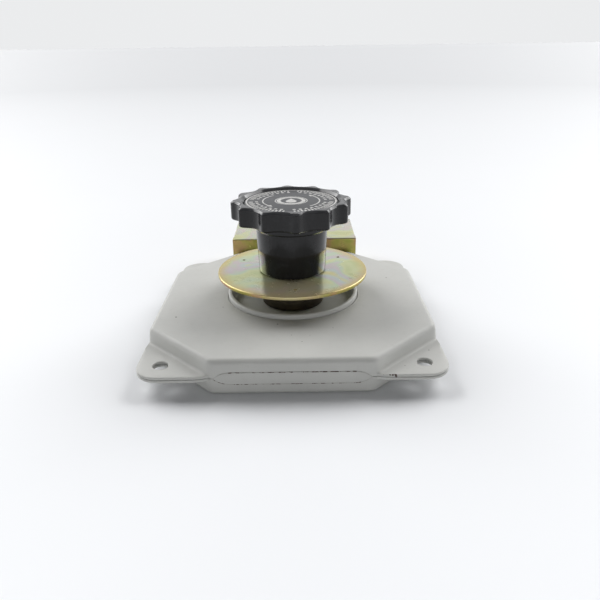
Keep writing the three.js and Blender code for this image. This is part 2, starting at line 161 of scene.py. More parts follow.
def rod(radius, bottom, top, x=0.0, y=NECK_Y, segments=48):
    rings = [circle(radius, bottom, segments, x, y), circle(radius, top, segments, x, y)]
    points, faces = skin(rings)
    faces += [tuple(reversed(range(segments))), tuple(range(segments, 2 * segments))]
    return points, faces


def inset(outline, distance):
    """An anticlockwise outline moved inwards."""
    moved = []
    for i, point in enumerate(outline):
        here = Vector(point)
        into = (here - Vector(outline[i - 1])).normalized()
        out = (Vector(outline[(i + 1) % len(outline)]) - here).normalized()
        normal = Vector((-into.y - out.y, into.x + out.x)).normalized()
        lean = max(normal.dot(Vector((-into.y, into.x))), 0.4)
        moved.append(tuple(here + normal * (distance / lean)))
    return moved


def plate(outline, bottom, top, edge=0.25, steps=3):
    """An extruded anticlockwise outline with rounded upper and lower edges."""
    levels = []
    for step in range(steps + 1):
        angle = step / steps * math.pi / 2
        levels.append((edge * (1 - math.sin(angle)), bottom + edge * (1 - math.cos(angle))))
    levels += [(away, bottom + top - z) for away, z in reversed(levels)]
    rings = [[(x, y, z) for x, y in inset(outline, away)] for away, z in levels]
    points, faces = skin(rings)
    count = len(outline)
    faces += [tuple(reversed(range(count))), tuple(range(len(points) - count, len(points)))]
    return points, faces


def box(x0, x1, y0, y1, z0, z1, edge=0.2):
    return plate([(x0, y0), (x1, y0), (x1, y1), (x0, y1)], z0, z1, edge)


def sweep(path, radius, sides=10, closed=False):
    """A tube along a path. radius may be a list, one for each point of the path."""
    centres = [Vector(point) for point in path]
    count = len(centres)
    sizes = radius if isinstance(radius, list) else [radius] * count
    rings = []
    side = None
    for i, centre in enumerate(centres):
        before = centres[i - 1] if closed or i else centre
        after = centres[(i + 1) % count] if closed or i + 1 < count else centre
        along = (after - before).normalized()
        start = side or (Vector((0, 0, 1)) if abs(along.z) < 0.9 else Vector((1, 0, 0)))
        side = (start - along * start.dot(along)).normalized()
        across = along.cross(side)
        turns = [2 * math.pi * k / sides for k in range(sides)]
        rings.append([centre + (side * math.cos(t) + across * math.sin(t)) * sizes[i] for t in turns])
    points, faces = skin(rings, loop=closed)
    if not closed:
        faces += [tuple(reversed(range(sides))), tuple(range(len(points) - sides, len(points)))]
    return points, faces


def moved(shape, matrix):
    points, faces = shape
    return [tuple(matrix @ Vector(point)) for point in points], faces


def joined(*shapes):
    points, faces = [], []
    for some_points, some_faces in shapes:
        start = len(points)
        points += some_points
        faces += [tuple(start + i for i in face) for face in some_faces]
    return points, faces


# ---- making, cutting and placing pieces ----

def mesh_object(name, shape):
    points, faces = shape
    mesh = bpy.data.meshes.new(name)
    mesh.from_pydata([Vector(point) * MM for point in points], [], faces)
    edit = bmesh.new()
    edit.from_mesh(mesh)
    bmesh.ops.remove_doubles(edit, verts=edit.verts, dist=0.004 * MM)
    bmesh.ops.dissolve_degenerate(edit, edges=edit.edges, dist=0.001 * MM)
    bmesh.ops.recalc_face_normals(edit, faces=edit.faces)
    edit.to_mesh(mesh)
    edit.free()
    made = bpy.data.objects.new(name, mesh)
    bpy.context.scene.collection.objects.link(made)
    return made


def bake_modifiers(piece):
    graph = bpy.context.evaluated_depsgraph_get()
    final = bpy.data.meshes.new_from_object(piece.evaluated_get(graph))
    piece.modifiers.clear()
    piece.data = final


def combine(piece, shape, operation="DIFFERENCE"):
    """Cuts a closed shape out of a piece, or joins it on."""
    tool = mesh_object("tool", shape)
    step = piece.modifiers.new("combine", "BOOLEAN")
    step.operation = operation
    step.solver = "EXACT"
    step.object = tool
    bake_modifiers(piece)
    bpy.data.objects.remove(tool)


def mark_edges(piece):
    """Writes how sharply the surface turns at each point, from 0 to 1, for the worn edges."""
    edit = bmesh.new()
    edit.from_mesh(piece.data)
    turns = []
    for vertex in edit.verts:
        angles = [edge.calc_face_angle(0.0) for edge in vertex.link_edges]
        turns.append(min(1.0, max(angles, default=0.0) / math.radians(25)))
    edit.free()
    attribute = piece.data.attributes.new("edge", "FLOAT", "POINT")
    attribute.data.foreach_set("value", turns)


def finish(piece, look, body, *nodes, sharp=40, worn=True):
    """Gives a piece its look and its body, in place of the CAD nodes that it stands for."""
    piece.data.materials.clear()
    piece.data.materials.append(look.material)
    piece.data.shade_smooth()
    piece.data.set_sharp_from_angle(angle=math.radians(sharp))
    if worn:
        mark_edges(piece)
    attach(piece, body)
    if nodes:
        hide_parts(*nodes)
    return piece


def add(name, shape, look, body, *nodes, cuts=(), **options):
    """Makes a whole piece, with closed shapes cut out of it."""
    piece = mesh_object(name, shape)
    for cut in cuts:
        combine(piece, cut)
    return finish(piece, look, body, *nodes, **options)


def add_turned(name, corners, look, body, *nodes, segments=96, steps=4, **options):
    """A piece turned about the neck's axis, from a profile whose corners are rounded."""
    return add(name, turned(fillet(corners, steps=steps), segments), look, body, *nodes, **options)


def add_ring(name, node, outer, inner, edge, look, body, segments=96):
    """A plain ring that stands for a CAD node and keeps its height."""
    spot = place(node)
    return add(name, ring(outer, inner, spot.bottom, spot.top, edge, segments), look, body, node)


def about_neck(shape, turn=0.0):
    """A shape drawn about the origin, turned and carried to the neck's axis."""
    return moved(shape, Matrix.Translation((0, NECK_Y, 0)) @ Matrix.Rotation(turn, 4, "Z"))


def drills_round(count, first, reach, radius, bottom, top, segments):
    """Rods on a circle about the neck's axis, the first one at an angle in degrees."""
    turns = [math.radians(first + 360 * i / count) for i in range(count)]
    return [
        rod(radius, bottom, top, reach * math.cos(turn), NECK_Y + reach * math.sin(turn), segments)
        for turn in turns
    ]


# ---- materials ----

class Graph:
    """A node tree under construction."""

    def __init__(self, tree):
        self.tree = tree

    def feed(self, socket, value):
        """Links a value that is a socket, and sets any other."""
        if isinstance(value, bpy.types.NodeSocket):
            self.tree.links.new(value, socket)
        else:
            socket.default_value = value

    def node(self, kind, inputs=None, **settings):
        made = self.tree.nodes.new("ShaderNode" + kind)
        for name, value in settings.items():
            setattr(made, name, value)
        for name, value in (inputs or {}).items():
            self.feed(made.inputs[name], value)
        return made

    def level(self, value, low, high, to_low=0.0, to_high=1.0, **settings):
        """value from low to high, spread over to_low to to_high and kept within them."""
        inputs = {
            "Value": value, "From Min": low, "From Max": high, "To Min": to_low, "To Max": to_high,
        }
        return self.node("MapRange", inputs, **settings).outputs["Result"]

    def calc(self, operation, a, b=0.0, c=0.0):
        return self.node("Math", {0: a, 1: b, 2: c}, operation=operation).outputs[0]


class Look(Graph):
    """A Principled material under construction, and the name of the slot that it keeps."""

    def __init__(self, name, slot, **constants):
        self.slot = slot
        self.material = bpy.data.materials.new(name)
        self.material.use_nodes = True
        super().__init__(self.material.node_tree)
        self.shader = self.tree.nodes["Principled BSDF"]
        self.place = self.node("TexCoord").outputs["Object"]
        self.wire(**constants)

    def noise(self, size, detail=3.0, rough=0.5, bend=0.0, stretch=None, seed=0.0):
        """A noise whose features are size millimetres across, on a place scaled by stretch."""
        at = self.place
        if stretch:
            at = self.node("VectorMath", {0: at, 1: stretch}, operation="MULTIPLY").outputs[0]
        inputs = {
            "Vector": at, "W": seed, "Scale": 1 / (size * MM), "Detail": detail, "Roughness": rough,
            "Distortion": bend,
        }
        return self.node("TexNoise", inputs, noise_dimensions="4D").outputs["Fac"]

    def ramp(self, value, *stops):
        made = self.node("ValToRGB", {"Fac": value})
        elements = made.color_ramp.elements
        while len(elements) < len(stops):
            elements.new(0.5)
        for element, (position, colour) in zip(elements, stops):
            element.position = position
            element.color = (*colour, 1)
        return made.outputs["Color"]

    def mix(self, factor, a, b):
        """Colours a and b mixed by factor."""
        made = self.node("Mix", data_type="RGBA")
        for index, value in ((0, factor), (6, a), (7, b)):
            self.feed(made.inputs[index], (*value, 1) if isinstance(value, tuple) else value)
        return made.outputs[2]

    def tint(self, colour, value, low, high, other, most=1.0):
        """A colour that turns into another, by most, as value goes from low to high."""
        return self.mix(self.level(value, low, high, 0.0, most), colour, other)

    def edge(self):
        return self.node("Attribute", attribute_name="edge").outputs["Fac"]

    def upward(self):
        """How far the surface faces up, from -1 to 1."""
        return self.node("SeparateXYZ", {0: self.node("NewGeometry").outputs["Normal"]}).outputs["Z"]

    def distance(self, x, y, z):
        """The distance from a place, in millimetres like the place itself."""
        inputs = {0: self.place, 1: (x * MM, y * MM, z * MM)}
        away = self.node("VectorMath", inputs, operation="DISTANCE").outputs["Value"]
        return self.calc("MULTIPLY", away, 1 / MM)

    def spots(self, spots, wobble):
        """How strongly a few round marks cover each place. A spot is (x, y, z, radius) in millimetres."""
        total = None
        for x, y, z, radius in spots:
            away = self.calc("SUBTRACT", self.distance(x, y, z), self.calc("MULTIPLY", wobble, radius))
            near = self.level(away, radius * 0.25, 0.0)
            total = near if total is None else self.calc("MAXIMUM", total, near)
        return total

    def wire(self, **sockets):
        """Links or sets the shader's inputs, and hands the look back."""
        for socket, value in sockets.items():
            self.feed(self.shader.inputs[socket.replace("_", " ")], value)
        return self

    def bump(self, height, distance, strength=1.0, normal=None):
        inputs = {"Height": height, "Distance": distance * MM, "Strength": strength}
        if normal is not None:
            inputs["Normal"] = normal
        return self.node("Bump", inputs).outputs["Normal"]


# Marks in the paint, as (x, y, z, radius): bare chips, and rust where the right front ear begins.
CHIPS = [
    *[(x, y, TANK_TOP, radius) for x, y, radius in (
        (-9.3, -46.4, 0.8), (-74.7, -34.0, 1.0), (24.8, -52.4, 0.5), (-0.5, -61.7, 0.45),
        (5.7, -70.2, 0.55), (10.5, -62.1, 0.4), (68.8, 29.5, 0.8), (-46.2, -19.5, 0.6))],
    (90.0, 0.3, SEAM + 5, 0.6), (81.6, -65.4, EAR_TOP, 0.6), (64.2, -83.4, EAR_TOP, 0.5),
]
RUST_SPOTS = [(x, -93.2, z, radius) for x, z, radius in (
    (50.7, SEAM + 1.5, 1.1), (50.8, SEAM - 0.1, 1.0), (50.8, SEAM - 1.3, 1.0), (54.4, EAR_TOP, 1.0),
    (55.8, EAR_TOP, 1.1), (57.3, EAR_TOP, 1.2), (57.8, SEAM + 0.5, 1.0))]
PAINT_LIGHT = (0.530, 0.530, 0.505)
PAINT_SHADE = (0.490, 0.491, 0.468)


def paint_colour(look):
    """Light grey with broad and fine unevenness and a little grime."""
    broad = look.noise(40, detail=3)
    fine = look.noise(3.5, detail=5, rough=0.6)
    colour = look.tint(PAINT_SHADE, broad, 0.35, 0.65, PAINT_LIGHT)
    colour = look.tint(colour, fine, 0.55, 0.8, (0.41, 0.405, 0.37), 0.25)
    grime = look.noise(9, detail=6, rough=0.7, seed=3.0)
    return look.tint(colour, grime, 0.6, 0.85, (0.36, 0.355, 0.32), 0.35)


def painted_steel():
    """Light grey paint, a little dirty, with a few chips and a little rust."""
    look = Look("grey_paint", "body_paint", IOR=1.5)
    colour = paint_colour(look)
    fine = look.noise(3.5, detail=5, rough=0.6)
    chip_noise = look.noise(2.2, detail=6, rough=0.75, seed=5.0)
    worn = look.calc("MULTIPLY", look.level(look.edge(), 0.5, 1.0), look.level(chip_noise, 0.66, 0.69))
    wobble = look.noise(0.8, detail=3, seed=2.0)
    chips = look.spots(CHIPS, wobble)
    speck = look.level(look.noise(1.6, detail=2, seed=9.0), 0.83, 0.845)
    bare = look.calc("MAXIMUM", look.calc("MAXIMUM", worn, chips), speck)
    rust = look.spots(RUST_SPOTS, wobble)
    rust_colour = look.ramp(fine, (0.3, (0.02, 0.012, 0.009)), (0.7, (0.07, 0.032, 0.02)))
    colour = look.mix(bare, colour, (0.09, 0.08, 0.07))
    colour = look.mix(rust, colour, rust_colour)

    rough = look.level(fine, 0.3, 0.7, 0.5, 0.62)
    rough = look.calc("MAXIMUM", rough, look.calc("MULTIPLY", rust, 0.85))
    orange_peel = look.bump(look.noise(0.55, detail=2), 0.02, 0.35)
    ripple = look.bump(look.noise(28, detail=1.5), 0.35, 0.25, orange_peel)
    dents = look.bump(look.calc("SUBTRACT", 1.0, bare), 0.1, 0.6, ripple)
    return look.wire(Base_Color=colour, Roughness=rough, Normal=dents)


def seam_bead():
    """The painted-over weld bead, with rust coming through in short dashes."""
    look = Look("rusting_seam", "body_paint", IOR=1.5)
    colour = paint_colour(look)
    dashes = look.level(look.noise(3.4, detail=4, rough=0.7, seed=11.0), 0.52, 0.56)
    shade = look.ramp(look.noise(0.6), (0.3, (0.03, 0.02, 0.016)), (0.7, (0.14, 0.085, 0.06)))
    colour = look.mix(dashes, look.mix(0.3, colour, (0.3, 0.29, 0.27)), shade)
    rough = look.level(dashes, 0.0, 1.0, 0.55, 0.9)
    return look.wire(Base_Color=colour, Roughness=rough, Normal=look.bump(look.noise(0.5), 0.03, 0.5))


SCUFF_Y = -32.0  # middle of the handled patch on the disc


def yellow_zinc():
    """Yellow-chromate zinc: pastel clouds on level faces, olive and gold near the disc's rim, and painted
    shade in olive and gold on upright faces.
    """
    look = Look("yellow_chromate_zinc", "yellow_zinc", Metallic=0.62)
    clouds = look.noise(26, detail=2.5, bend=0.5)
    pastel = look.ramp(
        clouds,
        (0.34, (0.49, 0.55, 0.26)), (0.41, (0.58, 0.61, 0.32)), (0.47, (0.47, 0.58, 0.42)),
        (0.53, (0.55, 0.47, 0.49)), (0.59, (0.47, 0.55, 0.53)), (0.66, (0.60, 0.56, 0.26)),
    )
    gold = look.ramp(
        look.noise(16, detail=3, bend=0.4, seed=6.0),
        (0.35, (0.38, 0.40, 0.07)), (0.46, (0.50, 0.42, 0.11)), (0.54, (0.54, 0.35, 0.15)),
        (0.64, (0.50, 0.31, 0.22)),
    )
    rim_gold = look.mix(clouds, (0.60, 0.49, 0.14), (0.58, 0.43, 0.20))
    from_middle = look.distance(0, NECK_Y, disc.top)
    frayed = look.calc("MULTIPLY_ADD", look.noise(9, detail=4, seed=8.0), 9, -4.5)
    reach = look.calc("ADD", from_middle, frayed)
    near_rim = look.level(reach, disc.radius - 8.0, disc.radius - 1.5, 0.0, 0.9)
    on_disc = look.level(from_middle, disc.radius + 1, disc.radius + 3, 1.0, 0.25)
    colour = look.mix(look.calc("MULTIPLY", near_rim, on_disc), pastel, rim_gold)
    # Upright faces take the darker olive and gold: painted shade set by which way a face points, laid over
    # real chromate tones.
    upright = look.level(look.calc("ABSOLUTE", look.upward()), 0.85, 0.4)
    colour = look.mix(upright, colour, gold)
    streaks = look.noise(1.0, detail=4, stretch=(30, 160, 160))
    colour = look.tint(colour, streaks, 0.4, 0.7, (0.66, 0.60, 0.42), 0.15)
    smudge = look.noise(7, detail=5, rough=0.7, seed=4.0)
    colour = look.tint(colour, smudge, 0.58, 0.75, (0.30, 0.25, 0.13), 0.4)
    scuff_noise = look.calc("MULTIPLY_ADD", look.noise(5, detail=5, rough=0.7, seed=7.0), 16, -8)
    scuff_reach = look.calc("ADD", look.distance(0, SCUFF_Y, disc.top), scuff_noise)
    colour = look.tint(colour, scuff_reach, 26, 14, (0.64, 0.54, 0.34), 0.75)
    pits = look.noise(1.3, detail=3, rough=0.7, seed=12.0)
    colour = look.tint(colour, pits, 0.75, 0.79, (0.16, 0.12, 0.06), 0.5)
    rough = look.level(look.noise(12, detail=5, seed=2.0), 0.3, 0.7, 0.16, 0.28)
    rough = look.calc("ADD", rough, look.level(smudge, 0.58, 0.75, 0.0, 0.2))
    scratches = look.noise(0.5, detail=2, stretch=(8, 900, 400))
    normal = look.bump(scratches, 0.01, 0.12, look.bump(look.noise(14, detail=2), 0.2, 0.1))
    return look.wire(Base_Color=colour, Roughness=rough, Normal=normal)


def knob_plastic():
    """Gloss black moulded plastic with handling marks, and dust and a painted highlight on upward faces."""
    look = Look("gloss_black_plastic", "knob_plastic", IOR=1.5, Specular_IOR_Level=0.32)
    smears = look.noise(9, detail=5, rough=0.65, bend=0.8)
    hairs = look.noise(1.0, detail=3, stretch=(120, 1400, 500), seed=3.0)
    colour = look.tint((0.012, 0.012, 0.013), smears, 0.5, 0.8, (0.022, 0.022, 0.024))
    # Lighter grey on upward faces: dust, and a painted highlight on the knob's top and bevel.
    dust_and_painted_highlight = look.calc("MULTIPLY", look.level(look.upward(), 0.2, 0.8),
                      look.level(smears, 0.2, 0.7, 0.6, 1.0))
    colour = look.mix(dust_and_painted_highlight, colour, (0.075, 0.075, 0.079))
    rough = look.level(smears, 0.3, 0.75, 0.06, 0.16)
    rough = look.calc("ADD", rough, look.level(hairs, 0.6, 0.8, 0.0, 0.12))
    normal = look.bump(look.noise(5, detail=2), 0.05, 0.15, look.bump(hairs, 0.008, 0.1))
    return look.wire(Base_Color=colour, Roughness=rough, Normal=normal)


def label_silver():
    look = Look("label_silver_ink", "label_plastic", Metallic=0.2)
    wear = look.noise(1.8, detail=5, rough=0.7)
    colour = look.tint((0.62, 0.61, 0.59), wear, 0.5, 0.7, (0.3, 0.295, 0.29))
    return look.wire(Base_Color=colour, Roughness=look.level(wear, 0.3, 0.7, 0.3, 0.55))


def mottled(name, slot, blotch, spread, dark, light, shine, grain, grip=0.3, **constants):
    """Two tones in blotches (size, detail, roughness), with a range of gloss and a fine grain."""
    look = Look(name, slot, **constants)
    blotches = look.noise(*blotch)
    colour = look.tint(dark, blotches, *spread, light)
    rough = look.level(blotches, 0.3, 0.7, *shine)
    return look.wire(Base_Color=colour, Roughness=rough, Normal=look.bump(look.noise(grain), 0.02, grip))


def turned_metal(name, slot, size, dark, light, stains, lines, shine, depth):
    """Bare metal with stains in its oil film and fine lathe lines round it."""
    look = Look(name, slot, Metallic=1.0)
    film = look.noise(size, detail=5, rough=0.65)
    lathe = look.noise(1.0, detail=3, stretch=(60, 60, lines))
    colour = look.tint(dark, film, 0.35, 0.7, light)
    colour = look.tint(colour, film, *stains)
    rough = look.level(lathe, 0.3, 0.7, *shine)
    return look.wire(Base_Color=colour, Roughness=rough, Normal=look.bump(lathe, depth, 0.25))


def open_foam():
    look = Look("open_cell_foam", "filter_foam", Roughness=0.95)
    cells = look.node("TexVoronoi", {"Vector": look.place, "Scale": 1 / (0.9 * MM)}).outputs["Distance"]
    # Darker toward the middle of each cell: painted shade in the pores.
    colour = look.ramp(cells, (0.1, (0.015, 0.017, 0.02)), (0.7, (0.11, 0.12, 0.135)))
    return look.wire(Base_Color=colour, Normal=look.bump(cells, 0.4, 0.8))


paint = painted_steel()
rusty_bead = seam_bead()
zinc = yellow_zinc()
# Very dark zinc for the hub and spacer under the drip disc: grime, and painted shade from the disc above
# them.
grimy_shaded_zinc = mottled(
    "grimy_zinc_painted_shade", "yellow_zinc", (8, 5, 0.65), (0.35, 0.7), (0.035, 0.028, 0.018), (0.085, 0.068, 0.038),
    (0.55, 0.7), 0.8, Metallic=0.35)
black = knob_plastic()
label_dark = mottled(
    "dark_label", "label_plastic", (4, 6, 0.7), (0.45, 0.75), (0.035, 0.037, 0.042), (0.085, 0.087, 0.09),
    (0.34, 0.55), 0.7, IOR=1.5)
silver = label_silver()
steel = turned_metal(
    "oiled_steel", "plain_steel", 8, (0.30, 0.30, 0.306), (0.48, 0.48, 0.4848),
    (0.66, 0.8, (0.22, 0.14, 0.08), 0.6), 2600, (0.24, 0.42), 0.02)
brass = turned_metal(
    "turned_brass", "brass", 5, (0.55, 0.38, 0.14), (0.74, 0.56, 0.26),
    (0.62, 0.8, (0.22, 0.15, 0.07), 0.5), 3000, (0.2, 0.38), 0.015)
rubber = mottled(
    "nitrile_rubber", "rubber", (3, 6, 0.7), (0.4, 0.75), (0.018, 0.018, 0.018), (0.05, 0.05, 0.048),
    (0.6, 0.8), 0.4, grip=0.4, IOR=1.5)
foam = open_foam()


# ---- pressed shells ----

CORNER_STEPS = 8
EDGE_STEPS = (20, 12)  # along a cut corner, along a straight side


def octagon(away, z):
    """The pan's outline moved inwards, with rounded corners: the same number of points at any inset."""
    x, y = PAN_X - away, PAN_Y - away
    leg = CHAMFER - away * (2 - math.sqrt(2))
    radius = max(PAN_CORNER - away, 1.0)
    corners = [
        (x, y - leg), (x - leg, y), (leg - x, y), (-x, y - leg),
        (-x, leg - y), (leg - x, -y), (x - leg, -y), (x, leg - y),
    ]
    arcs = fillet([(*corner, radius) for corner in corners], steps=CORNER_STEPS)
    size = CORNER_STEPS + 1
    points = []
    for i in range(8):
        points += arcs[i * size:(i + 1) * size]
        start = Vector(arcs[(i + 1) * size - 1])
        end = Vector(arcs[(i + 1) % 8 * size])
        steps = EDGE_STEPS[i % 2]
        points += [tuple(start.lerp(end, step / steps)) for step in range(1, steps)]
    return [Vector((px, py, z)) for px, py in points]


def ear_outline(share):
    """A point on the ear's edge in the back right corner, from the side (0) to the back (1)."""
    x, y = shell.x1 - EAR_CORNER, shell.y1 - EAR_CORNER
    side = y - (PAN_Y - CHAMFER)
    bend = EAR_CORNER * math.pi / 2
    along = share * (side + bend + x - FLAT)
    angle = min(max(along - side, 0.0), bend) / EAR_CORNER
    before, after = max(side - along, 0.0), max(along - side - bend, 0.0)
    return x - after + EAR_CORNER * math.cos(angle), y - before + EAR_CORNER * math.sin(angle)


def ear_points(foot):
    """For each point of the pan's foot, the point on the ear's edge that it reaches out to."""
    reach = list(foot)
    run = CORNER_STEPS + EDGE_STEPS[0]
    lap = run + CORNER_STEPS + EDGE_STEPS[1]
    for ear, (side_x, side_y) in enumerate(((1, 1), (-1, 1), (-1, -1), (1, -1))):
        for step in range(run + 1):
            share = step / run
            ease = min(1.0, share / 0.1, (1 - share) / 0.1)
            x, y = ear_outline(1 - share if ear % 2 else share)
            index = (ear * lap + CORNER_STEPS // 2 + step) % len(foot)
            edge_point = Vector((side_x * x, side_y * y, foot[index].z))
            reach[index] = foot[index].lerp(edge_point, ease * ease * (3 - 2 * ease))
    return reach


def pressed_rings(opening):
    """Rings over the outside of the upper shell, round the ears and back along the inside."""
    def lean(z):
        return (z - SEAM) * DRAFT

    def round_neck(radius, z, outline):
        """A ring about the opening, or a point in the middle where there is none."""
        if not opening:
            return [Vector((0, 0, z)) for _ in outline]
        arms = [Vector((p.x, p.y - NECK_Y, 0)).normalized() * radius for p in outline]
        return [Vector((arm.x, arm.y + NECK_Y, z)) for arm in arms]

    def bend(radius, away, z, steps):
        """Rings round the inside or the outside of the bend, from its foot up to level."""
        turns = [step / steps * math.pi / 2 for step in range(steps + 1)]
        return [octagon(away + radius * (1 - math.cos(t)), z + radius * math.sin(t)) for t in turns]

    bend_foot = TANK_TOP - BEND
    outer_bend = bend(BEND, lean(bend_foot), bend_foot, 8)[::-1]
    top_outline = outer_bend[0]
    rings = []
    if opening:
        rings.append(round_neck(opening, TANK_TOP - 0.35, top_outline))
        rings.append(round_neck(opening + 0.1, TANK_TOP - 0.1, top_outline))
    rings.append(round_neck(opening + 0.35, TANK_TOP, top_outline))
    inmost = rings[-1]
    rings += [[a.lerp(b, share) for a, b in zip(inmost, top_outline)] for share in (0.12, 0.35, 0.62, 0.86)]
    rings += outer_bend

    foot = octagon(lean(EAR_TOP), EAR_TOP)
    reach = ear_points(foot)
    widths = [(b - a).length for a, b in zip(foot, reach)]
    ways = [(b - a).normalized() if w > 1e-6 else Vector() for a, b, w in zip(foot, reach, widths)]
    folds = [min(EAR_FOLD, 0.6 * w) for w in widths]
    rims = [min(EAR_RIM, 0.2 * w) for w in widths]
    ears = list(zip(foot, ways, folds, rims, widths))
    for step in range(6):
        turn = step / 5 * math.pi / 2
        level = []
        for point, way, fold, _, _ in ears:
            z = EAR_TOP + fold * (1 - math.sin(turn))
            wall = 1 + (EAR_TOP - z) * DRAFT / PAN_X
            level.append(Vector((point.x * wall, point.y * wall, z)) + way * fold * (1 - math.cos(turn)))
        rings.append(level)
    for share in (0.2, 0.45, 0.72):
        rings.append([p + way * (fold + (w - rim - fold) * share) for p, way, fold, rim, w in ears])
    for start, up, steps in ((EAR_TOP, -1, (0, 1, 2, 3)), (shell.bottom, 1, (3, 2, 1, 0))):
        for step in steps:
            turn = step / 3 * math.pi / 2
            rise, back = up * (1 - math.cos(turn)), 1 - math.sin(turn)
            rings.append([
                Vector((p.x, p.y, start + rim * rise)) + way * (w - rim * back)
                for p, way, _, rim, w in ears
            ])
    rings.append(octagon(lean(shell.bottom) + SHEET, shell.bottom))
    rings += bend(BEND - SHEET, lean(bend_foot) + SHEET, bend_foot, 4)
    rings.append(round_neck(opening, TANK_TOP - SHEET, top_outline))
    return rings


def seam_outline(half_length, half_height, steps=10):
    """The strip's outline: straight edges that curve together at both ends."""
    taper = 3 * half_height
    straight = half_length - taper
    points = []
    for sx, sy in ((1, -1), (1, 1), (-1, 1), (-1, -1)):
        for step in range(steps + 1):
            t = step / steps if sx * sy < 0 else 1 - step / steps
            along = straight + 2 * t * (1 - t) * (taper * 2 / 3) + t * t * taper
            across = half_height * (1 - t * t)
            if not (t == 1 and sy > 0):
                points.append((sx * along, sy * across))
    return points


SIDE_STRIP = place("seam_strip_right").y1
SIDES = [
    ("front", 0, PAN_Y, strip.x1), ("right", 1, PAN_X, SIDE_STRIP),
    ("back", 2, PAN_Y, strip.x1), ("left", 3, PAN_X, SIDE_STRIP),
]
STRIP_HALF = (strip.top - strip.bottom) / 2
NOTCH_GAP = 0.2
HOLE_BREAK = 0.4  # broken edge of the holes in the ears
BOSSES = ("suction_boss", "return_boss", "drain_boss")


def on_side(shape, turn, distance):
    """Stands a shape up against one side of the tank, its own Z pointing out."""
    upright = Matrix.Translation((0, -distance, SEAM)) @ Matrix.Rotation(math.pi / 2, 4, "X")
    return moved(shape, Matrix.Rotation(turn * math.pi / 2, 4, "Z") @ upright)


def shell_cuts():
    """The notches for the seam strips and the holes in the ears, each with a slightly broken edge."""
    cuts = []
    for _, turn, distance, half_length in SIDES:
        outline = seam_outline(half_length + NOTCH_GAP, STRIP_HALF + NOTCH_GAP)
        cuts.append(on_side(plate(outline, 0, 6, edge=0.01), turn, distance - 4))
    x, y, radius = EAR_HOLE
    wide = radius + HOLE_BREAK
    ear_bottom = lower.top - SHEET
    profile = [
        (0, -5), (wide, -5), (wide, ear_bottom), (radius, ear_bottom + HOLE_BREAK),
        (radius, EAR_TOP - HOLE_BREAK), (wide, EAR_TOP), (wide, 25), (0, 25),
    ]
    corners = ((-1, -1), (-1, 1), (1, -1), (1, 1))
    return cuts + [turned(profile, 64, sx * x, sy * y) for sx, sy in corners]


add("upper_shell_pressing", skin(pressed_rings(COLLAR + 0.5), loop=True), paint, "tank", "upper_shell",
    cuts=shell_cuts())

turn_over = Matrix.Translation((0, 0, TANK_TOP)) @ Matrix.Rotation(math.pi, 4, "Y")
boss_holes = [rod(8.2, -3, 5, place(boss).x, place(boss).y, 64) for boss in BOSSES]
add("lower_shell_pressing", moved(skin(pressed_rings(0)), turn_over), paint, "tank", "lower_shell",
    cuts=shell_cuts() + boss_holes)

for name, turn, distance, half_length in SIDES:
    face = distance - STRIP_RECESS
    bar = on_side(plate(seam_outline(half_length, STRIP_HALF), 0, SHEET, 0.3), turn, face - SHEET)
    add("seam_strip_" + name + "_bar", bar, paint, "tank", "seam_strip_" + name, worn=False)
    outline = [Vector(point) for point in seam_outline(half_length + 0.1, STRIP_HALF + 0.1, 16)]
    path = []
    for here, after in zip(outline, outline[1:] + outline[:1]):
        pieces = max(1, round((after - here).length / 1.5))
        path += [(*here.lerp(after, k / pieces), SHEET - 0.2) for k in range(pieces)]
    sizes = [0.26 + 0.14 * noise.noise(Vector(point) * 0.45) for point in path]
    bead = on_side(sweep(path, sizes, 8, closed=True), turn, face - SHEET)
    add("seam_weld_" + name, bead, rusty_bead, "tank", worn=False)


# ---- bosses, drain plug and baffle ----

def thread_rings(crest, root, bottom, top, pitch, x, y, segments=64, levels=6):
    """Rings of a right-hand thread, whose radius swings between crest and root along a helix."""
    rings = []
    count = round((top - bottom) / pitch * levels)
    for step in range(count + 1):
        z = bottom + (top - bottom) * step / count
        fade = min(1.0, step / levels, (count - step) / levels)
        level = []
        for i in range(segments):
            turn = i / segments
            wave = 0.5 + 0.5 * math.cos(2 * math.pi * (z / pitch - turn))
            wave = min(1.0, max(0.0, 1.6 * wave - 0.3))
            radius = crest + (root - crest) * fade * wave
            angle = 2 * math.pi * turn
            level.append((x + radius * math.cos(angle), y + radius * math.sin(angle), z))
        rings.append(level)
    return rings


def cap_thread(crest, root, bottom, top):
    """The thread between the cap and the neck, on either of them."""
    return thread_rings(crest, root, bottom, top, THREAD_PITCH, 0, NECK_Y, 96, 16)


def port_boss(x, y):
    """A boss with a short spigot through the shell and a parallel thread in its bore."""
    spot = place("suction_boss")
    segments = 64
    outer = fillet([(6.2, 0.0, 0.2), (8.0, 0.0, 0.4), (8.0, 1.9, 0.1), (11.0, 1.9, 0.5),
                    (11.0, spot.top, 0.6), (5.7, spot.top, 0.4)])
    rings = [circle(radius, z, segments, x, y) for radius, z in outer]
    rings += list(reversed(thread_rings(5.7, 6.25, 1.0, spot.top - 0.8, 1.337, x, y, segments)))
    return skin(rings, loop=True)


for boss in BOSSES:
    spot = place(boss)
    add(boss + "_threaded", port_boss(spot.x, spot.y), steel, "tank", boss)

